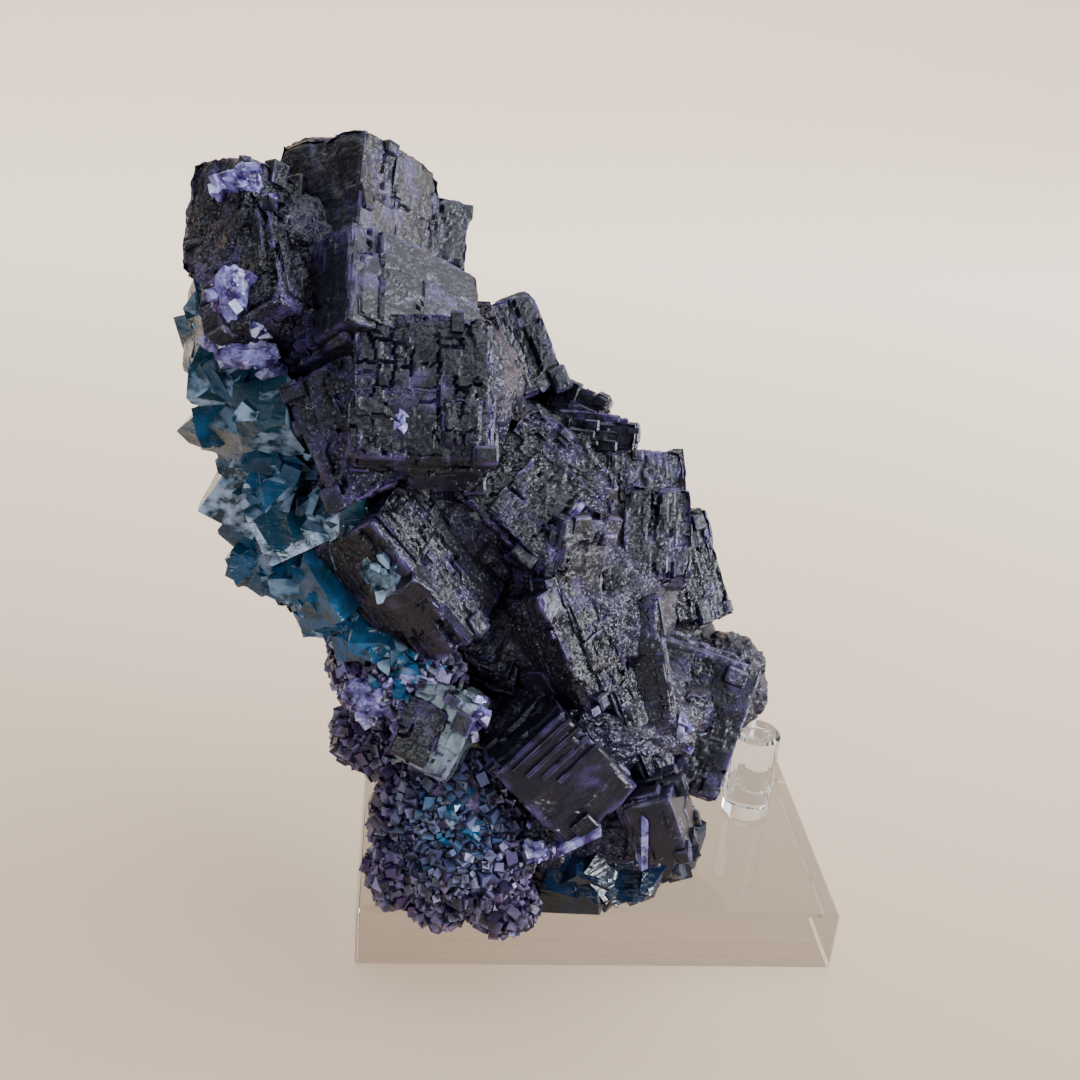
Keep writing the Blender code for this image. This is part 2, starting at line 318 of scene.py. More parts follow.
def side_relief(u, v, width, height, style, rng):
    """How far each point of a crystal's side stands out of its plane, and where its cracks are."""
    seed = rng.randrange(1 << 20)
    flat = np.stack([u, v], axis=1)
    along = flat / np.array([1.0, style.stretch ** 0.7])
    uu, vv = wavy(u, flat, seed), wavy(v, flat, seed + 2)
    level = np.zeros(len(u))
    gap = np.full(len(u), NO_EDGE_NEAR)
    for x0, y0, x1, y1, own in tiles(-width / 2, -height / 2, width / 2, height / 2, style, rng):
        low_x, high_x = x0 - OVERHANG * (x0 <= -width / 2), x1 + OVERHANG * (x1 >= width / 2)
        low_y, high_y = y0 - OVERHANG * (y0 <= -height / 2), y1 + OVERHANG * (y1 >= height / 2)
        inside = (uu >= low_x) & (uu < high_x) & (vv >= low_y) & (vv < high_y)
        if rng.random() < style.pits:
            own -= rng.uniform(*PIT_DEPTH)
        lean = rng.gauss(0, PLATE_SLOPE) * (uu - (x0 + x1) / 2)
        lean = lean + rng.gauss(0, PLATE_SLOPE) * (vv - (y0 + y1) / 2)
        level[inside] = (own + lean)[inside]
        edge = np.minimum(np.minimum(uu - low_x, high_x - uu), np.minimum(vv - low_y, high_y - vv))
        gap[inside] = edge[inside]
    # Cracks along some plate edges
    crack = smooth_step(0.75 - 0.5 * style.cracks, 0.85 - 0.5 * style.cracks, soft_noise(flat, 3.5, seed + 4))
    crack = crack * (gap < CRACK_WIDTH / 2)
    level -= CRACK_DEPTH * crack * (0.6 + 0.8 * soft_noise(flat, 1.5, seed + 5))
    # Broad terraces in five steps, then worn patches full of crumbs, then fine grain
    level -= style.terrace * np.floor(4.99 * soft_noise(along, 5.5, seed + 6)) / 4
    worn = smooth_step(0.55, 0.72, soft_noise(flat, 4.5, seed + 7))
    crumbs = 0.3 + block_noise(np.stack([uu, vv], axis=1), 0.9, seed + 8)
    level -= worn * (0.25 + 0.7 * style.grain) * crumbs
    grain = soft_noise(along, 0.9, seed + 9) + 0.7 * block_noise(along + 0.3 * flat, 0.55, seed + 10)
    level -= style.grain * (0.45 + 1.1 * soft_noise(flat, 3.0, seed + 11)) * grain
    return np.clip(level + 0.5 * style.terrace, LOWEST, HIGHEST), crack


def crystal_mesh(centre, size, turn, style_name, rng, pitch=None):
    """A closed box in its place whose six sides are fine grids of ledges, cracks and chipped edges."""
    style = STYLES[style_name]
    counts = [max(2, round(s / (pitch or style.pitch))) for s in size]
    # A grid for each of the six sides
    quads, lattice, sides, start = [], [], [], 0
    for axis, end in itertools.product(range(3), (0, 1)):
        a, b = [other for other in range(3) if other != axis]
        ia, ib = np.meshgrid(np.arange(counts[a] + 1), np.arange(counts[b] + 1), indexing="ij")
        where = np.zeros((ia.size, 3), dtype=np.int64)
        where[:, a], where[:, b], where[:, axis] = ia.ravel(), ib.ravel(), end * counts[axis]
        lattice.append(where)
        row = counts[b] + 1
        corner = (np.arange(counts[a])[:, None] * row + np.arange(counts[b])[None, :]).ravel() + start
        quad = np.stack([corner, corner + row, corner + row + 1, corner + 1], axis=1)
        quads.append(quad if (end == 1) == (axis != 1) else quad[:, ::-1])
        sides.append((axis, end, a, b, slice(start, start + len(where))))
        start += len(where)
    # Sides share the points on their borders
    lattice = np.concatenate(lattice)
    key = (lattice[:, 0] * (counts[1] + 1) + lattice[:, 1]) * (counts[2] + 1) + lattice[:, 2]
    _, first, index = np.unique(key, return_index=True, return_inverse=True)
    full = np.array(size, dtype=float)
    rest = lattice / np.array(counts) * full - full / 2
    matrix = np.array(placed(centre, turn))
    world = rest @ matrix[:3, :3].T + matrix[:3, 3]
    # How deep the edges are broken (mm), most at the corners
    chip = 0.15 + 1.8 * np.clip(soft_noise(world, 2.4, 5) - 0.35, 0, 1) + 0.5 * block_noise(rest, 1.1, 6)
    to_corner = np.linalg.norm(full / 2 - np.abs(rest), axis=1)
    big = smooth_step(0.5, 0.85, soft_noise(world, 5.0, 7)) + 0.9 * np.clip(1 - to_corner / 3.5, 0, 1)
    chip = np.minimum(style.chip * (chip + 1.2 * big), full.min() / 6)
    # Each side moves its points in and out along its own axis
    moved = np.zeros((len(first), 3))
    lilac = np.zeros(len(first))
    for axis, end, a, b, part in sides:
        u, v = rest[part, a], rest[part, b]
        heights, crack = side_relief(u, v, full[a], full[b], style, rng)
        edge = np.minimum(full[a] / 2 - np.abs(u), full[b] / 2 - np.abs(v))
        heights = np.maximum(heights, -full.min() / 5) - np.clip(chip[part] - edge, 0, None)
        border = edge < 1e-6
        heights[border] = -chip[part][border] / 2
        ids = index[part]
        moved[ids, axis] += (1 if end else -1) * heights
        # Painted light: lilac along the rims stands in for light passing through the thin edges
        painted_edge_glow = np.clip(1 - edge / min(1.5, 0.12 * full.min()), 0, 1)
        np.maximum.at(lilac, ids, np.maximum(painted_edge_glow, 0.3 * crack))
    points = rest[first] + moved
    points = points @ matrix[:3, :3].T + matrix[:3, 3]
    # What the material reads: lilac on rims, painted as light passing through thin edges, and own lilac in
    # patches, tone, and slope of the tiny facets
    patches = smooth_step(0.5, 0.8, soft_noise(points, 5.0, 21))
    patches = patches * smooth_step(0.3, 0.7, soft_noise(points, 1.6, 24))
    lilac = lilac * smooth_step(0.3, 0.75, soft_noise(points, 2.0, 22)) * 0.8 + 0.5 * patches
    tone = soft_noise(points, 9.0, 23) * 0.6 + 0.4 * rng.random()
    sparkle = style.sparkle * (0.5 + 0.9 * soft_noise(points, 4.0, 25))
    return closed_mesh(points, index[np.concatenate(quads)], lilac, tone, sparkle)


def closed_mesh(points, quads, lilac, tone, sparkle):
    """A mesh in metres from points in mm, with the values that its material reads."""
    mesh = bpy.data.meshes.new("part")
    mesh.vertices.add(len(points))
    mesh.vertices.foreach_set("co", (points * MM).ravel())
    mesh.loops.add(quads.size)
    mesh.loops.foreach_set("vertex_index", quads.ravel().astype(np.int32))
    mesh.polygons.add(len(quads))
    mesh.polygons.foreach_set("loop_start", np.arange(0, quads.size, quads.shape[1], dtype=np.int32))
    mesh.update(calc_edges=True)
    add_values(mesh, "lilac", lilac)
    add_values(mesh, "tone", tone)
    add_values(mesh, "sparkle", sparkle)
    return mesh


def add_values(mesh, name, values, domain="POINT"):
    """Stores a number for each point or side, which the materials read by name."""
    attribute = mesh.attributes.new(name, "FLOAT", domain)
    attribute.data.foreach_set("value", np.asarray(values, dtype=np.float32))


# Small crystals keep this far inside the solids' own box (mm)
MARGIN = 0.3
# A small piece is held when it lies up to this far outside a crystal (mm), or up to this far from the middle
# of a rounded body (share of its half size)
HOLD_OUTSIDE, HOLD_REACH = 0.9, 1.02
# Flat breaks that cut each splinter
SHARD_CUTS = 4
# Crystals with painted sheen, paler faces that stand in for their reflection: share of painted sheen
SHEEN_PAINTED_CRYSTALS = {"grid_block": 1.0, "sparkle_ridge": 0.3}
# A box from -0.5 to 0.5: its corners, and the corners of each side
BOX_SIGNS = list(itertools.product((-1, 1), repeat=3))
BOX_CORNERS = 0.5 * np.array(BOX_SIGNS)
BOX_SIDES = np.array([(0, 1, 3, 2), (4, 6, 7, 5), (0, 4, 5, 1), (2, 3, 7, 6), (0, 2, 6, 4), (1, 5, 7, 3)])


def grain_mesh(centre, size, turn, lilac, rng):
    """A tiny uneven cube."""
    uneven = np.array([[rng.uniform(0.8, 1.15) for _ in range(3)] for _ in range(8)])
    matrix = np.array(placed(centre, turn))
    points = (BOX_CORNERS * uneven * np.array(size)) @ matrix[:3, :3].T + matrix[:3, 3]
    return closed_mesh(points, BOX_SIDES, np.full(8, lilac), np.full(8, rng.random()), np.full(8, 0.1))


def lump_mesh(centre, half, rng, lilac, rough=1.6, level=5):
    """A closed lumpy mass with small steps in its surface."""
    bm = bmesh.new()
    bmesh.ops.create_icosphere(bm, subdivisions=level, radius=1.0)
    ways = np.array([v.co[:] for v in bm.verts])
    triangles = np.array([[v.index for v in face.verts] for face in bm.faces])
    bm.free()
    seed = rng.randrange(1 << 20)
    base = ways * np.array(half) + np.array(centre)
    depth = rough * soft_noise(base, 5.0, seed) + 0.8 * block_noise(base, 1.9, seed + 1)
    depth += 0.5 * block_noise(base, 0.9, seed + 2)
    points = base - ways * depth[:, None]
    share = lilac * (0.4 + 1.0 * soft_noise(points, 2.5, seed + 3))
    return closed_mesh(points, triangles, share, soft_noise(points, 3.0, seed + 4), np.full(len(points), 0.9))


def shard_mesh(centre, half, rng, pale_and_reflection_share, blue):
    """A closed splinter: a box with corners cut off by flat breaks, some of its sides pale, partly as painted
    reflection.
    """
    bm = bmesh.new()
    bmesh.ops.create_cube(bm, size=2.0)
    for _ in range(SHARD_CUTS):
        way = Vector([rng.choice((-1, 1)) * rng.uniform(0.5, 1.2) for _ in range(3)]).normalized()
        everything = bm.verts[:] + bm.edges[:] + bm.faces[:]
        place = way * rng.uniform(0.55, 1.15)
        bmesh.ops.bisect_plane(bm, geom=everything, plane_co=place, plane_no=way, clear_outer=True)
        bmesh.ops.holes_fill(bm, edges=[edge for edge in bm.edges if edge.is_boundary])
    turn = Euler([rng.gauss(0, 0.6) for _ in range(3)]).to_matrix()
    for vert in bm.verts:
        vert.co = (turn @ Vector([c * h for c, h in zip(vert.co, half)]) + Vector(centre)) * MM
    bmesh.ops.recalc_face_normals(bm, faces=bm.faces)
    mesh = bpy.data.meshes.new("shard")
    bm.to_mesh(mesh)
    bm.free()
    # Pale faces: partly the splinters' own pale breaks, partly painted reflection
    pale_and_reflection = [rng.uniform(0.2, 1.0) if rng.random() < pale_and_reflection_share else 0.0 for _ in mesh.polygons]
    add_values(mesh, "pale_and_reflection", pale_and_reflection, "FACE")
    add_values(mesh, "blue", [blue * rng.uniform(0.4, 1.2) for _ in mesh.polygons], "FACE")
    return mesh


def twins(centre, size, turn, count, most, rng):
    """Smaller boxes in nearly the same setting whose sides stand a little out of the crystal's."""
    matrix = placed(centre, turn)
    for _ in range(count):
        part = [s * rng.uniform(0.3, 0.85) for s in size]
        out = [rng.uniform(-1.8, 0.4 * most) for _ in range(3)]
        out[rng.randrange(3)] = rng.uniform(0.2, 1.0) * most
        where = [rng.choice((-1, 1)) * (s / 2 + o - p / 2) for s, o, p in zip(size, out, part)]
        yield matrix @ Vector(where), part, [t + rng.gauss(0, 1.5) for t in turn]


def satellites(centre, size, turn, count, rng):
    """Small crystals in nearly the same setting that stand mostly sunk along a crystal's sides and edges."""
    matrix = placed(centre, turn)
    for _ in range(count):
        small = 1.5 * math.exp(rng.uniform(0, 1.1))
        where = [rng.uniform(-0.5, 0.5) * s for s in size]
        axis = rng.randrange(3)
        where[axis] = rng.choice((-1, 1)) * (size[axis] / 2 - small * rng.uniform(0.25, 0.45))
        other = (axis + rng.choice((1, 2))) % 3
        if rng.random() < 0.6:
            where[other] = rng.choice((-1, 1)) * (size[other] / 2 - small * rng.uniform(0.25, 0.45))
        spread = 4 if rng.random() < 0.85 else 14
        part = [small * rng.uniform(0.7, 1.3) for _ in range(3)]
        yield matrix @ Vector(where), part, [t + rng.gauss(0, spread) for t in turn]


def within_frame(centre, size, turn):
    """Whether a turned box keeps inside the solids' own box."""
    matrix = placed(centre, turn)
    corners = [matrix @ Vector([0.5 * sign * s for sign, s in zip(signs, size)]) for signs in BOX_SIGNS]
    return all(low / MM + MARGIN < corner[axis] < high / MM - MARGIN
               for corner in corners for axis, (low, high) in enumerate(zip(*cad_box)))


def covered(where, small):
    """Whether a small crystal would poke out through a side of a main crystal."""
    for centre, size, turn, _ in CRYSTALS.values():
        own = placed(centre, turn).inverted() @ Vector(where)
        if all(abs(o) < s / 2 + 0.3 * small for o, s in zip(own, size)):
            return True
    return False


def held(where):
    """Whether a point lies in something that can carry a small piece."""
    for centre, size, turn, _ in CRYSTALS.values():
        own = placed(centre, turn).inverted() @ Vector(where)
        if all(abs(o) < s / 2 + HOLD_OUTSIDE for o, s in zip(own, size)):
            return True
    bodies = [crust for crust in CRUSTS.values() if min(crust[1]) >= CRUST_BED]
    for table in (BLUE_BODIES, SOLE_BODIES, DARK_LUMPS, DRUSE_LUMPS):
        bodies += table.values()
    for body in bodies:
        if sum(((w - c) / h) ** 2 for w, c, h in zip(where, body[0], body[1])) < HOLD_REACH ** 2:
            return True
    return False


def lump_area(half):
    """The rough surface area of a rounded body (mm2)."""
    return 4 * math.pi * (half[0] * half[1] + half[1] * half[2] + half[0] * half[2]) / 3


def on_lump(centre, half, cover, rng):
    """Small boxes spread over a rounded body, apart from places that a main crystal covers."""
    area, sizes, spread, sunk = cover
    for _ in range(int(lump_area(half) / area)):
        way = Vector([rng.gauss(0, 1) for _ in range(3)]).normalized()
        where = [c + h * sunk * w for c, h, w in zip(centre, half, way)]
        small = sizes[0] * (sizes[1] / sizes[0]) ** rng.random()
        turn = [t + rng.gauss(0, spread) for t in COMMON_TURN]
        if covered(where, small):
            continue
        yield where, [small * rng.uniform(0.8, 1.3) for _ in range(3)], turn


def fused(name, meshes, material):
    """Joins closed meshes into one solid."""
    group = bpy.data.collections.new(name)
    bpy.context.scene.collection.children.link(group)
    items = [bpy.data.objects.new(name, mesh) for mesh in meshes]
    bpy.context.scene.collection.objects.link(items[0])
    for item in items[1:]:
        group.objects.link(item)
    union = items[0].modifiers.new("union", "BOOLEAN")
    union.operation = "UNION"
    union.solver = "MANIFOLD"
    union.operand_type = "COLLECTION"
    union.collection = group
    bpy.context.view_layer.update()
    result = bpy.data.meshes.new_from_object(items[0].evaluated_get(bpy.context.evaluated_depsgraph_get()))
    for item in items:
        bpy.data.objects.remove(item, do_unlink=True)
    bpy.data.collections.remove(group)
    result.shade_flat()
    result.materials.clear()
    result.materials.append(material)
    made = bpy.data.objects.new(name, result)
    bpy.context.scene.collection.objects.link(made)
    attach(made, "root")
    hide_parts("fluorite_cluster")
    print(name, len(meshes), "parts", sum(len(p.vertices) - 2 for p in result.polygons), "triangles")


# Materials; colors are linear red, green and blue
FLUORITE_IOR, ACRYLIC_IOR = 1.434, 1.49
# Crystals: dark tone, light tone, lilac (on the rims of the dark crystals it is painted light through thin
# edges), and lowest and highest roughness
DARK_FLUORITE = ((0.002, 0.0018, 0.004), (0.008, 0.007, 0.017), (0.115, 0.075, 0.27), (0.20, 0.40))
VIOLET_DRUSE = ((0.006, 0.004, 0.016), (0.065, 0.03, 0.12), (0.42, 0.36, 0.62), (0.12, 0.4))
# The blue places are the crystals' own color; the pale grey-green is a painted sheen that stands in for
# reflection
BLUE_PLACES, PAINTED_SHEEN_COLOR = (0.03, 0.10, 0.20), (0.21, 0.26, 0.30)
# Glassy splinters: dark tone, bright blue and transmission; then the color of their pale faces, partly
# painted reflection
BLUE_FLUORITE = ((0.007, 0.028, 0.044), (0.008, 0.11, 0.28), 0.08)
NAVY_FLUORITE = ((0.0015, 0.003, 0.007), (0.004, 0.025, 0.08), 0.0)
PALE_AND_REFLECTION_FACES = (0.36, 0.48, 0.66)
# The crust: violet to lilac, whitish patches and pale faces
CRUST_VIOLET, CRUST_LILAC = (0.035, 0.014, 0.10), (0.24, 0.22, 0.52)
CRUST_WHITE, CRUST_PALE = (0.55, 0.52, 0.72), (0.55, 0.56, 0.74)
# Acrylic as it is seen, and as lamp light passes it
ACRYLIC_TINT, ACRYLIC_SHADE = (0.77, 0.815, 0.86, 1), (0.76, 0.80, 0.84, 1)


def new_material(name):
    """A new material with its nodes, its links and its main shader."""
    made = bpy.data.materials.new(name)
    made.use_nodes = True
    nodes, links = made.node_tree.nodes, made.node_tree.links
    return made, nodes, links, nodes["Principled BSDF"]


def mixed_color(nodes, links, low, high, factor):
    """A color between two others; low may be a color or the output of another node."""
    mix = nodes.new("ShaderNodeMix")
    mix.data_type = "RGBA"
    if isinstance(low, tuple):
        mix.inputs["A"].default_value = (*low, 1)
    else:
        links.new(low, mix.inputs["A"])
    mix.inputs["B"].default_value = (*high, 1)
    links.new(factor, mix.inputs["Factor"])
    return mix.outputs["Result"]


def own_value(nodes, name):
    """The number that a piece carries under this name, or 0."""
    node = nodes.new("ShaderNodeAttribute")
    node.attribute_name = name
    return node.outputs["Fac"]


def surface_noise(nodes, links, scale, detail=3.0, stretch=(1.0, 1.0, 1.0)):
    """Cloudy noise from 0 to 1 in space, with about scale lumps to the metre."""
    coords = nodes.new("ShaderNodeTexCoord")
    noise = nodes.new("ShaderNodeTexNoise")
    noise.inputs["Scale"].default_value = scale
    noise.inputs["Detail"].default_value = detail
    stretched = vector_math(nodes, links, "MULTIPLY", coords.outputs["Object"], stretch)
    links.new(stretched, noise.inputs["Vector"])
    return noise.outputs["Fac"]


def product(nodes, links, first, second):
    """Two values multiplied."""
    node = nodes.new("ShaderNodeMath")
    node.operation = "MULTIPLY"
    links.new(first, node.inputs[0])
    links.new(second, node.inputs[1])
    return node.outputs["Value"]


def rescaled(nodes, links, value, before, after):
    """Maps a value from one range to another and keeps it inside."""
    node = nodes.new("ShaderNodeMapRange")
    node.inputs["From Min"].default_value, node.inputs["From Max"].default_value = before
    node.inputs["To Min"].default_value, node.inputs["To Max"].default_value = after
    links.new(value, node.inputs["Value"])
    return node.outputs["Result"]


def bump(nodes, links, height, distance, strength, before=None):
    """A normal tilted by a height, on top of an earlier one if there is one."""
    node = nodes.new("ShaderNodeBump")
    node.inputs["Distance"].default_value = distance
    if isinstance(strength, float):
        node.inputs["Strength"].default_value = strength
    else:
        links.new(strength, node.inputs["Strength"])
    links.new(height, node.inputs["Height"])
    if before:
        links.new(before, node.inputs["Normal"])
    return node.outputs["Normal"]


def vector_math(nodes, links, operation, first, second):
    """A sum on two vectors; second may be three numbers or the output of another node."""
    node = nodes.new("ShaderNodeVectorMath")
    node.operation = operation
    links.new(first, node.inputs[0])
    if isinstance(second, tuple):
        node.inputs[1].default_value = second
    else:
        links.new(second, node.inputs[1])
    return node.outputs["Value" if operation == "DOT_PRODUCT" else "Vector"]


# Crystals: tiny facets, grains, clouds in their gloss, places of painted sheen and breaks in the lilac
# painted on rims, to the metre
FACETS_PER_METRE, GRAINS_PER_METRE, CLOUDS_PER_METRE = 3000.0, 6500.0, 200.0
SHEEN_PER_METRE, RIMS_PER_METRE = 350.0, 900.0
# Glassy splinters: breaks, depth of the blue, pale places (partly painted reflection), gloss, growth lines
# and ripples, to the metre
BREAKS_PER_METRE, DEPTHS_PER_METRE, PALE_PER_METRE = 420.0, 320.0, 420.0
GLOSS_PER_METRE, LINES_PER_METRE, RIPPLES_PER_METRE = 700.0, 500.0, 1400.0
LINES_STRETCH = (0.3, 0.3, 2.5)
# The crust: lilac and white patches, to the metre
LILAC_PER_METRE, WHITE_PER_METRE = 420.0, 300.0
# Heights of grains, growth lines and ripples (m)
GRAIN_HEIGHT, LINE_HEIGHT, RIPPLE_HEIGHT = 0.0001, 0.0004, 0.0002


def tilted_cells(nodes, links, cells_per_metre):
    """A height in metres that tilts each small cell of the surface its own way."""
    coords = nodes.new("ShaderNodeTexCoord")
    cells = nodes.new("ShaderNodeTexVoronoi")
    cells.inputs["Scale"].default_value = cells_per_metre
    links.new(coords.outputs["Object"], cells.inputs["Vector"])
    offset = vector_math(nodes, links, "SUBTRACT", coords.outputs["Object"], cells.outputs["Position"])
    tilt = vector_math(nodes, links, "SUBTRACT", cells.outputs["Color"], (0.5, 0.5, 0.5))
    return vector_math(nodes, links, "DOT_PRODUCT", offset, tilt)


def crystal_material(name, dark, light, lilac, roughness):
    """Nearly black crystal with lilac rims painted as light through thin edges, painted sheen on some
    crystals, blue places, and tiny facets.
    """
    made, nodes, links, shader = new_material(name)
    base = mixed_color(nodes, links, dark, light, own_value(nodes, "tone"))
    base = mixed_color(nodes, links, base, BLUE_PLACES, own_value(nodes, "blue"))
    # Painted sheen: a paler grey-green mixed in on some crystals in place of their reflection
    painted_sheen = rescaled(nodes, links, surface_noise(nodes, links, SHEEN_PER_METRE, 5.0), (0.35, 0.6), (0.3, 1.0))
    painted_sheen = product(nodes, links, own_value(nodes, "painted_sheen"), painted_sheen)
    base = mixed_color(nodes, links, base, PAINTED_SHEEN_COLOR, painted_sheen)
    # Lilac mixed in: painted light through thin edges on the rims, the crystal's own lilac in patches and
    # cracks
    amount = product(nodes, links, own_value(nodes, "lilac"), surface_noise(nodes, links, RIMS_PER_METRE))
    links.new(mixed_color(nodes, links, base, lilac, amount), shader.inputs["Base Color"])
    rough = rescaled(nodes, links, surface_noise(nodes, links, CLOUDS_PER_METRE), (0.3, 0.7), roughness)
    links.new(rough, shader.inputs["Roughness"])
    shader.inputs["IOR"].default_value = FLUORITE_IOR
    facets = tilted_cells(nodes, links, FACETS_PER_METRE)
    facets = bump(nodes, links, facets, 1.0, own_value(nodes, "sparkle"))
    grains = bump(nodes, links, surface_noise(nodes, links, GRAINS_PER_METRE), GRAIN_HEIGHT, 0.5, facets)
    links.new(grains, shader.inputs["Normal"])
    return made


def clear_acrylic():
    """Clear plastic that lets lamp light through to what is under it."""
    made, nodes, links, shader = new_material("clear_acrylic")
    shader.inputs["Base Color"].default_value = ACRYLIC_TINT
    shader.inputs["Roughness"].default_value = 0.02
    shader.inputs["IOR"].default_value = ACRYLIC_IOR
    shader.inputs["Transmission Weight"].default_value = 1.0
    clear = nodes.new("ShaderNodeBsdfTransparent")
    clear.inputs["Color"].default_value = ACRYLIC_SHADE
    path = nodes.new("ShaderNodeLightPath")
    mix = nodes.new("ShaderNodeMixShader")
    links.new(path.outputs["Is Shadow Ray"], mix.inputs["Fac"])
    links.new(shader.outputs["BSDF"], mix.inputs[1])
    links.new(clear.outputs["BSDF"], mix.inputs[2])
    links.new(mix.outputs["Shader"], nodes["Material Output"].inputs["Surface"])
    return made


def glassy_fluorite(name, dark, bright, transmission):
    """Broken fluorite from a dark to a bright blue, with mottled pale faces that are partly painted
    reflection, and fine growth lines.
    """
    made, nodes, links, shader = new_material(name)
    depth = rescaled(nodes, links, surface_noise(nodes, links, DEPTHS_PER_METRE), (0.35, 0.65), (0.1, 1.3))
    depth = product(nodes, links, own_value(nodes, "blue"), depth)
    color = mixed_color(nodes, links, dark, bright, depth)
    # Pale faces mixed in: partly own pale breaks, partly painted reflection
    clouds = surface_noise(nodes, links, PALE_PER_METRE, 5.0)
    clouds = rescaled(nodes, links, clouds, (0.41, 0.59), (0.0, 1.0))
    clouds = product(nodes, links, own_value(nodes, "pale_and_reflection"), clouds)
    color = mixed_color(nodes, links, color, PALE_AND_REFLECTION_FACES, clouds)
    links.new(color, shader.inputs["Base Color"])
    rough = rescaled(nodes, links, surface_noise(nodes, links, GLOSS_PER_METRE), (0.3, 0.7), (0.05, 0.35))
    links.new(rough, shader.inputs["Roughness"])
    shader.inputs["IOR"].default_value = FLUORITE_IOR
    shader.inputs["Transmission Weight"].default_value = transmission
    lines = surface_noise(nodes, links, LINES_PER_METRE, 2.0, LINES_STRETCH)
    lines = bump(nodes, links, lines, LINE_HEIGHT, 0.5)
    ripples = bump(nodes, links, surface_noise(nodes, links, RIPPLES_PER_METRE), RIPPLE_HEIGHT, 0.5, lines)
    breaks = bump(nodes, links, tilted_cells(nodes, links, BREAKS_PER_METRE), 1.0, 0.3, ripples)
    links.new(breaks, shader.inputs["Normal"])
    return made


def lilac_crust():
    """Lilac grains with violet and whitish patches."""
    made, nodes, links, shader = new_material("lilac_crust")
    share = surface_noise(nodes, links, LILAC_PER_METRE, 5.0)
    share = rescaled(nodes, links, share, (0.40, 0.62), (0.0, 1.0))
    color = mixed_color(nodes, links, CRUST_VIOLET, CRUST_LILAC, share)
    white = surface_noise(nodes, links, WHITE_PER_METRE, 4.0)
    white = rescaled(nodes, links, white, (0.54, 0.68), (0.0, 0.9))
    color = mixed_color(nodes, links, color, CRUST_WHITE, white)
    color = mixed_color(nodes, links, color, CRUST_PALE, own_value(nodes, "pale_and_reflection"))
    links.new(color, shader.inputs["Base Color"])
    shader.inputs["Roughness"].default_value = 0.22
    shader.inputs["IOR"].default_value = FLUORITE_IOR
    facets = bump(nodes, links, tilted_cells(nodes, links, FACETS_PER_METRE), 1.0, 0.6)
    links.new(facets, shader.inputs["Normal"])
    return made


# The paper: its painted glow, which lights it though it is no lamp, its nearest tone, and each next tone with
# the range of y where it takes over (m)
PAPER_PAINTED_GLOW = 0.65
PAPER_NEAR = (0.14, 0.12, 0.11)
PAPER_TONES = (((-0.15, -0.055), (0.43, 0.32, 0.22)), ((-0.05, 0.5), (0.99, 0.80, 0.63)))


def backdrop_material():
    """Pale warm paper with a painted glow in its own colors, that gets deeper in tone towards the viewer."""
    made, nodes, links, shader = new_material("pale_paper")
    coords = nodes.new("ShaderNodeTexCoord")
    parts = nodes.new("ShaderNodeSeparateXYZ")
    links.new(coords.outputs["Object"], parts.inputs["Vector"])
    color = PAPER_NEAR
    for before, next_color in PAPER_TONES:
        depth = rescaled(nodes, links, parts.outputs["Y"], before, (0.0, 1.0))
        color = mixed_color(nodes, links, color, next_color, depth)
    links.new(color, shader.inputs["Base Color"])
    # Painted glow: the paper gives off light in its own colors, so it is brightest where it is palest
    links.new(color, shader.inputs["Emission Color"])
    shader.inputs["Emission Strength"].default_value = PAPER_PAINTED_GLOW
    shader.inputs["Roughness"].default_value = 0.85
    return made


def crystal_groups(rng):
    """The dark crystals with their twins, satellites and the mass between them, in six groups."""
    groups = {name: [] for name in ("crown", "upper", "middle", "lower_left", "lower_right", "back")}

    def group_at(centre):
        """The group for a place in front."""
        if centre[2] > UPPER_FROM:
            return groups["crown" if centre[2] > CROWN_FROM else "upper"]
        if centre[2] > MIDDLE_FROM:
            return groups["middle"]
        return groups["lower_left" if centre[0] < LEFT_UP_TO else "lower_right"]

    for name, (centre, size, turn, style) in CRYSTALS.items():
        back = style == "coarse"
        group = groups["back"] if back else group_at(centre)
        group.append(crystal_mesh(centre, size, turn, style, rng))
        # Share of painted sheen for this crystal
        add_values(group[-1], "painted_sheen", np.full(len(group[-1].vertices), SHEEN_PAINTED_CRYSTALS.get(name, 0.0)))
        count = {"coarse": BACK_TWINS, "steps": STEP_TWINS}.get(style, FRONT_TWINS)
        for box in twins(centre, size, turn, count, BACK_TWIN_REACH if back else FRONT_TWIN_REACH, rng):
            if within_frame(*box):
                group.append(crystal_mesh(*box, style, rng))
        for box in satellites(centre, size, turn, BACK_SATELLITES if back else FRONT_SATELLITES, rng):
            if within_frame(*box):
                group.append(crystal_mesh(*box, "blocky", rng, BACK_SMALL_PITCH if back else SMALL_PITCH))
    for name, (centre, half) in DARK_LUMPS.items():
        group = group_at(centre)
        group.append(lump_mesh(centre, half, rng, 0.15))
        if name in BARE_LUMPS:
            continue
        for box in on_lump(centre, half, FILLERS, rng):
            group.append(crystal_mesh(*box, "grainy", rng, SMALL_PITCH))
    return groups


def shard_heap(centre, half, count, size, pale_and_reflection, blueness, rng):
    """Small splinters around a place, thickest in its middle; those that nothing holds are dropped."""
    shards = []
    for _ in range(count):
        where = [c + h * max(-1, min(1, rng.gauss(0, 0.6))) for c, h in zip(centre, half)]
        own = size * rng.uniform(0.6, 1.4)
        shard = shard_mesh(where, [own * rng.uniform(0.6, 1.3) for _ in range(3)], rng, pale_and_reflection, blueness)
        if held(where):
            shards.append(shard)
    return shards


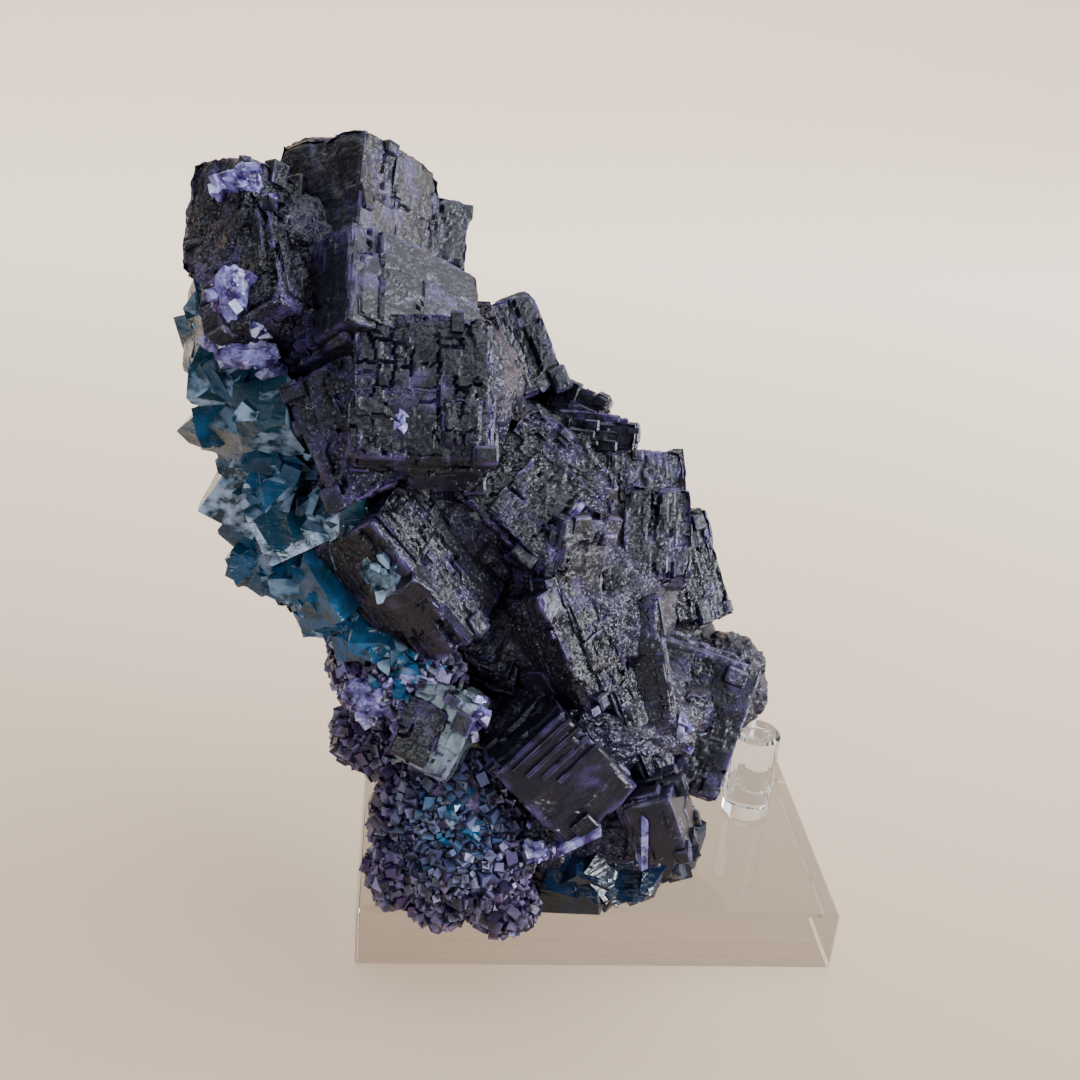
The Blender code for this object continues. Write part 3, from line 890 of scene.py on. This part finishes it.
def broken_body(centre, half, pale_and_reflection, blueness, rng):
    """A large splinter with smaller ones grown against its sides."""
    shards = [shard_mesh(centre, half, rng, pale_and_reflection, blueness)]
    for count, share, reach in BODY_SPLINTERS:
        for _ in range(count):
            way = Vector([rng.gauss(0, 1) for _ in range(3)]).normalized()
            where = [c + h * reach * w for c, h, w in zip(centre, half, way)]
            own = [h * share * rng.uniform(0.6, 1.3) for h in half]
            shards.append(shard_mesh(where, own, rng, pale_and_reflection, blueness))
    return shards


def ledges(rng):
    """Thin ridges that run side by side over the front of the roof-shaped crystal."""
    centre, size, turn, _ = CRYSTALS["bottom_roof"]
    matrix = placed(centre, turn)
    for across, length in LEDGES:
        where = matrix @ Vector((across, 0, (size[2] - length) / 2))
        own = (LEDGE_WIDTH, size[1] + 2 * LEDGE_RISE, length)
        yield crystal_mesh(where, own, turn, "smooth", rng, LEDGE_PITCH)


def build_specimen():
    """Makes every piece of the specimen."""
    rng = random.Random(SEED)
    dark = crystal_material("dark_fluorite", *DARK_FLUORITE)
    violet = crystal_material("violet_druse", *VIOLET_DRUSE)
    groups = crystal_groups(rng)
    groups["lower_left"] += ledges(rng)
    for name, meshes in groups.items():
        fused("fluorite_" + name, meshes, dark)
    druse = []
    for centre, half, lilac in DRUSE_LUMPS.values():
        druse.append(lump_mesh(centre, half, rng, lilac, level=4))
        for where, size, turn in on_lump(centre, half, GRAINS, rng):
            grain = grain_mesh(where, size, turn, GRAIN_LILAC * lilac * rng.random() ** 2, rng)
            nearness = 1 - math.dist(where, HEEL_BLUE) / HEEL_BLUE_REACH
            add_values(grain, "blue", np.full(8, max(0.0, nearness) * rng.uniform(0.3, 1.5)))
            druse.append(grain)
    fused("fluorite_druse", druse, violet)
    blue = []
    for body in BLUE_BODIES.values():
        blue += broken_body(*body, rng)
    for heap in SHARD_HEAPS.values():
        blue += shard_heap(*heap, rng)
    teal = glassy_fluorite("blue_fluorite", *BLUE_FLUORITE)
    fused("fluorite_blue_edge", blue, teal)
    sole = shard_heap(*SOLE_TEETH, rng)
    for body in SOLE_BODIES.values():
        sole += broken_body(*body, rng)
    navy = glassy_fluorite("navy_fluorite", *NAVY_FLUORITE)
    fused("fluorite_sole", sole, navy)
    crust = []
    for centre, half, count, size in CRUSTS.values():
        if min(half) >= CRUST_BED:
            crust.append(lump_mesh(centre, half, rng, 0.5, 0.9, level=4))
        crust += shard_heap(centre, half, count, size, 0.12, 0.0, rng)
    for blade in BLADES.values():
        crust.append(grain_mesh(*blade, 0.9, rng))
    fused("fluorite_lilac_crust", crust, lilac_crust())


def dress_stand():
    """Gives the stand's own solids their clear material."""
    acrylic = clear_acrylic()
    for name in ("stand_base", "stand_peg_rear_right", "stand_peg_rear_left", "stand_peg_front"):
        item = bpy.data.objects[name]
        for slot in item.material_slots:
            slot.material = acrylic


# The paper's front edge, its curve up, its top and its half width (m)
PAPER_FRONT, CURVE_START, CURVE_RADIUS, PAPER_TOP, PAPER_HALF_WIDTH = -1.2, 1.0, 0.6, 1.6, 2
CURVE_STEPS = 12
# Lights: place (m), size (m), power (W), color; all of them aim at one point
LIGHTS = {
    "key": ((0.85, 0.0, 0.34), 0.42, 8.5, (0.88, 0.94, 1.0)),
    "front_right": ((0.60, -0.52, 0.62), 0.28, 2.5, (0.88, 0.94, 1.0)),
    "low_right": ((0.82, -0.27, 0.15), 0.28, 11, (0.88, 0.94, 1.0)),
    "left_window": ((-0.53, -0.78, 0.19), 0.30, 4.5, (0.88, 0.95, 1.0)),
}
LIGHT_AIM = (-0.02, 0.0, 0.07)
# The room: the way towards its brightest part, its dimmest and brightest strength, the color of its light,
# and the color that is seen directly
BRIGHTEST_WAY, ROOM_STRENGTH = (0.22, 0.42, 0.88), (0.05, 3.5)
ROOM_LIGHT, ROOM_SEEN = (0.90, 0.95, 1.0), (0.66, 0.61, 0.55)


def build_studio():
    """A pale floor that curves up behind, with soft light."""
    profile = [(PAPER_FRONT, 0.0), (CURVE_START, 0.0)]
    for step in range(1, CURVE_STEPS + 1):
        angle = math.radians(90 * step / CURVE_STEPS)
        profile.append((CURVE_START + CURVE_RADIUS * math.sin(angle), CURVE_RADIUS * (1 - math.cos(angle))))
    profile.append((CURVE_START + CURVE_RADIUS, PAPER_TOP))
    mesh = bpy.data.meshes.new("sweep")
    points = [(side, y, z) for y, z in profile for side in (-PAPER_HALF_WIDTH, PAPER_HALF_WIDTH)]
    mesh.from_pydata(points, [], [(2 * i, 2 * i + 1, 2 * i + 3, 2 * i + 2) for i in range(len(profile) - 1)])
    mesh.polygons.foreach_set("use_smooth", [True] * len(mesh.polygons))
    mesh.materials.append(backdrop_material())
    sweep = bpy.data.objects.new("sweep", mesh)
    bpy.context.scene.collection.objects.link(sweep)
    bpy.context.scene.world = soft_room()
    for name, light in LIGHTS.items():
        add_light(name, *light)


def soft_room():
    """Soft light from above and behind that fades to a dim room; seen directly it is a plain pale tone."""
    world = bpy.data.worlds.new("soft_room")
    world.use_nodes = True
    nodes, links = world.node_tree.nodes, world.node_tree.links
    coords = nodes.new("ShaderNodeTexCoord")
    towards = vector_math(nodes, links, "DOT_PRODUCT", coords.outputs["Generated"], BRIGHTEST_WAY)
    rise = rescaled(nodes, links, towards, (0.3, 1.0), ROOM_STRENGTH)
    path = nodes.new("ShaderNodeLightPath")
    seen = nodes.new("ShaderNodeMix")
    seen.data_type = "FLOAT"
    links.new(path.outputs["Is Camera Ray"], seen.inputs["Factor"])
    links.new(rise, seen.inputs["A"])
    seen.inputs["B"].default_value = 1.0
    color = mixed_color(nodes, links, ROOM_LIGHT, ROOM_SEEN, path.outputs["Is Camera Ray"])
    links.new(color, nodes["Background"].inputs["Color"])
    links.new(seen.outputs["Result"], nodes["Background"].inputs["Strength"])
    return world


def add_light(name, where, size, power, color):
    """A square lamp aimed at the specimen."""
    data = bpy.data.lights.new(name, "AREA")
    data.shape = "SQUARE"
    data.size = size
    data.energy = power
    data.color = color
    made = bpy.data.objects.new(name, data)
    made.location = where
    aim = Vector(LIGHT_AIM) - Vector(where)
    made.rotation_euler = aim.to_track_quat("-Z", "Y").to_euler()
    bpy.context.scene.collection.objects.link(made)


# Camera: where it stands (mm), how far it turns right, looks down and rolls (degrees), focal length in pixels
CAMERA_PLACE = (-39.8, -226.9, 181.0)
CAMERA_TURN, CAMERA_DOWN, CAMERA_ROLL = 6.4, 24.9, 4.9
FOCAL_PIXELS, IMAGE_PIXELS = 1414.0, 1080.0
SENSOR_WIDTH = 36.0


def build_camera():
    """The camera of the photo."""
    data = bpy.data.cameras.new("camera")
    data.sensor_width = SENSOR_WIDTH
    data.lens = FOCAL_PIXELS / IMAGE_PIXELS * data.sensor_width
    data.clip_start = 0.01
    camera = bpy.data.objects.new("camera", data)
    turn, down, roll = (math.radians(v) for v in (CAMERA_TURN, CAMERA_DOWN, CAMERA_ROLL))
    level = Matrix.Rotation(-turn, 4, "Z") @ Matrix.Rotation(math.pi / 2 - down, 4, "X")
    look = level @ Matrix.Rotation(roll, 4, "Z")
    camera.matrix_world = Matrix.Translation(Vector(CAMERA_PLACE) * MM) @ look
    bpy.context.scene.collection.objects.link(camera)
    bpy.context.scene.camera = camera


build_camera()
build_specimen()
dress_stand()
build_studio()
